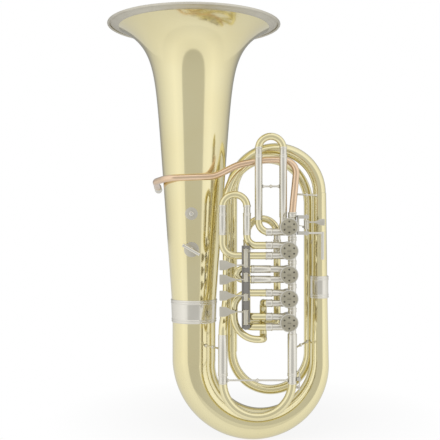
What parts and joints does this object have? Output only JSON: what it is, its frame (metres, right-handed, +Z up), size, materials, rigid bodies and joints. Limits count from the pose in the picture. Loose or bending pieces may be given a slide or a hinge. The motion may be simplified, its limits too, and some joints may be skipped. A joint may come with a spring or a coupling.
{
  "type": "tuba",
  "caption": "Upright rotary-valve tuba with a flared bell, conical bows, a wrapped leadpipe, finger and thumb levers, and pull-out tuning slides.",
  "frame": {"origin": "lowest point of the bottom bow, midway between the bell axis and the outer branch, where the tuba rests on a lap or a stand", "axes": "+Z up along the bell, +X from the bell to the outer branch, -Y towards the valve side"},
  "size_m": [0.5392, 0.4206, 1.012],
  "materials": {
    "brass": "polished and lacquered",
    "rose_brass": "polished and lacquered",
    "nickel": "polished nickel silver"
  },
  "bodies": {
    "horn": {"bell": "brass", "bell_wreath": "nickel", "bell_ferrule": "nickel", "bottom_bow": "brass", "bow_ferrule": "nickel", "outer_branch": "brass", "outer_top_bow": "brass", "left_branch": "brass", "inner_bottom_bow": "brass", "inner_branch": "brass", "inner_top_bow": "brass", "slide_branch": "brass", "leadpipe": "rose_brass", "mouthpiece_receiver": "nickel", "valve_casing_1": "nickel", "valve_casing_2": "nickel", "valve_casing_3": "nickel", "valve_casing_4": "nickel", "valve_casing_5": "nickel", "valve_caps": "nickel", "lever_saddle": "nickel", "lever_rod": "nickel", "thumb_saddle": "nickel", "thumb_rod": "nickel", "main_sleeves": "nickel", "first_sleeves": "nickel", "second_loop": "nickel", "third_sleeves": "nickel", "fourth_loop": "brass", "fifth_loop": "brass", "stays": "nickel", "bell_fittings": "nickel"},
    "lever_1": {"lever_1": "nickel"},
    "rotor_1": {"rotor_1": "brass", "stop_arm_1": "nickel"},
    "link_1": {"link_1": "nickel"},
    "lever_2": {"lever_2": "nickel"},
    "rotor_2": {"rotor_2": "brass", "stop_arm_2": "nickel"},
    "link_2": {"link_2": "nickel"},
    "lever_3": {"lever_3": "nickel"},
    "rotor_3": {"rotor_3": "brass", "stop_arm_3": "nickel"},
    "link_3": {"link_3": "nickel"},
    "lever_4": {"lever_4": "nickel"},
    "rotor_4": {"rotor_4": "brass", "stop_arm_4": "nickel"},
    "link_4": {"link_4": "nickel"},
    "lever_5": {"lever_5": "nickel"},
    "rotor_5": {"rotor_5": "brass", "stop_arm_5": "nickel"},
    "link_5": {"link_5": "nickel"},
    "main_slide": {"main_slide": "brass", "main_slide_stay": "nickel", "water_key_saddle": "nickel"},
    "water_key": {"water_key": "nickel"},
    "first_slide": {"first_slide": "brass"},
    "second_slide": {"second_slide": "brass"},
    "third_slide": {"third_slide": "brass"},
    "fifth_slide": {"fifth_slide": "brass"}
  },
  "joints": [
    {"name": "lever_1_press", "type": "hinge", "parent": "horn", "child": "lever_1", "pos_m": [0.109, -0.118, 0.518], "axis": [0, 0, 1], "range_deg": [0, 16], "stiffness_Nm_per_rad": 0.4, "springref_deg": -17.19},
    {"name": "rotor_1_turn", "type": "hinge", "parent": "horn", "child": "rotor_1", "pos_m": [0.069, -0.1, 0.518], "axis": [0, -1, 0], "range_deg": [0, 90]},
    {"name": "link_1_swing", "type": "hinge", "parent": "lever_1", "child": "link_1", "pos_m": [0.109, -0.0575, 0.518], "axis": [0, 0, 1], "range_deg": [-16, 0]},
    {"name": "lever_2_press", "type": "hinge", "parent": "horn", "child": "lever_2", "pos_m": [-0.03, -0.118, 0.463], "axis": [0, 0, -1], "range_deg": [0, 16], "stiffness_Nm_per_rad": 0.4, "springref_deg": -17.19},
    {"name": "rotor_2_turn", "type": "hinge", "parent": "horn", "child": "rotor_2", "pos_m": [0.069, -0.1, 0.463], "axis": [0, 1, 0], "range_deg": [0, 90]},
    {"name": "link_2_swing", "type": "hinge", "parent": "lever_2", "child": "link_2", "pos_m": [-0.03, -0.0575, 0.463], "axis": [0, 0, -1], "range_deg": [-16, 0]},
    {"name": "lever_3_press", "type": "hinge", "parent": "horn", "child": "lever_3", "pos_m": [-0.03, -0.118, 0.408], "axis": [0, 0, -1], "range_deg": [0, 16], "stiffness_Nm_per_rad": 0.4, "springref_deg": -17.19},
    {"name": "rotor_3_turn", "type": "hinge", "parent": "horn", "child": "rotor_3", "pos_m": [0.069, -0.1, 0.408], "axis": [0, 1, 0], "range_deg": [0, 90]},
    {"name": "link_3_swing", "type": "hinge", "parent": "lever_3", "child": "link_3", "pos_m": [-0.03, -0.0575, 0.408], "axis": [0, 0, -1], "range_deg": [-16, 0]},
    {"name": "lever_4_press", "type": "hinge", "parent": "horn", "child": "lever_4", "pos_m": [-0.03, -0.118, 0.353], "axis": [0, 0, -1], "range_deg": [0, 16], "stiffness_Nm_per_rad": 0.4, "springref_deg": -17.19},
    {"name": "rotor_4_turn", "type": "hinge", "parent": "horn", "child": "rotor_4", "pos_m": [0.069, -0.1, 0.353], "axis": [0, 1, 0], "range_deg": [0, 90]},
    {"name": "link_4_swing", "type": "hinge", "parent": "lever_4", "child": "link_4", "pos_m": [-0.03, -0.0575, 0.353], "axis": [0, 0, -1], "range_deg": [-16, 0]},
    {"name": "lever_5_press", "type": "hinge", "parent": "horn", "child": "lever_5", "pos_m": [-0.03, -0.118, 0.298], "axis": [0, 0, -1], "range_deg": [0, 16], "stiffness_Nm_per_rad": 0.4, "springref_deg": -17.19},
    {"name": "rotor_5_turn", "type": "hinge", "parent": "horn", "child": "rotor_5", "pos_m": [0.069, -0.1, 0.298], "axis": [0, 1, 0], "range_deg": [0, 90]},
    {"name": "link_5_swing", "type": "hinge", "parent": "lever_5", "child": "link_5", "pos_m": [-0.03, -0.0575, 0.298], "axis": [0, 0, -1], "range_deg": [-16, 0]},
    {"name": "main_slide_pull", "type": "slide", "parent": "horn", "child": "main_slide", "axis": [0, 0, -1], "range_m": [0, 0.035]},
    {"name": "first_slide_pull", "type": "slide", "parent": "horn", "child": "first_slide", "axis": [0, 0, 1], "range_m": [0, 0.05]},
    {"name": "second_slide_pull", "type": "slide", "parent": "horn", "child": "second_slide", "axis": [0, 0, 1], "range_m": [0, 0.03]},
    {"name": "third_slide_pull", "type": "slide", "parent": "horn", "child": "third_slide", "axis": [-1, 0, 0], "range_m": [0, 0.01]},
    {"name": "fifth_slide_pull", "type": "slide", "parent": "horn", "child": "fifth_slide", "axis": [0, 0, 1], "range_m": [0, 0.02]},
    {"name": "water_key_open", "type": "hinge", "parent": "main_slide", "child": "water_key", "pos_m": [0.0945, -0.1, 0.166], "axis": [0, -1, 0], "range_deg": [0, 8], "stiffness_Nm_per_rad": 0.05, "springref_deg": -17.19}
  ],
  "couplings": [
    {"joint": "rotor_1_turn", "follows": "lever_1_press", "ratio": 5.625},
    {"joint": "link_1_swing", "follows": "lever_1_press", "ratio": -1},
    {"joint": "rotor_2_turn", "follows": "lever_2_press", "ratio": 5.625},
    {"joint": "link_2_swing", "follows": "lever_2_press", "ratio": -1},
    {"joint": "rotor_3_turn", "follows": "lever_3_press", "ratio": 5.625},
    {"joint": "link_3_swing", "follows": "lever_3_press", "ratio": -1},
    {"joint": "rotor_4_turn", "follows": "lever_4_press", "ratio": 5.625},
    {"joint": "link_4_swing", "follows": "lever_4_press", "ratio": -1},
    {"joint": "rotor_5_turn", "follows": "lever_5_press", "ratio": 5.625},
    {"joint": "link_5_swing", "follows": "lever_5_press", "ratio": -1}
  ]
}
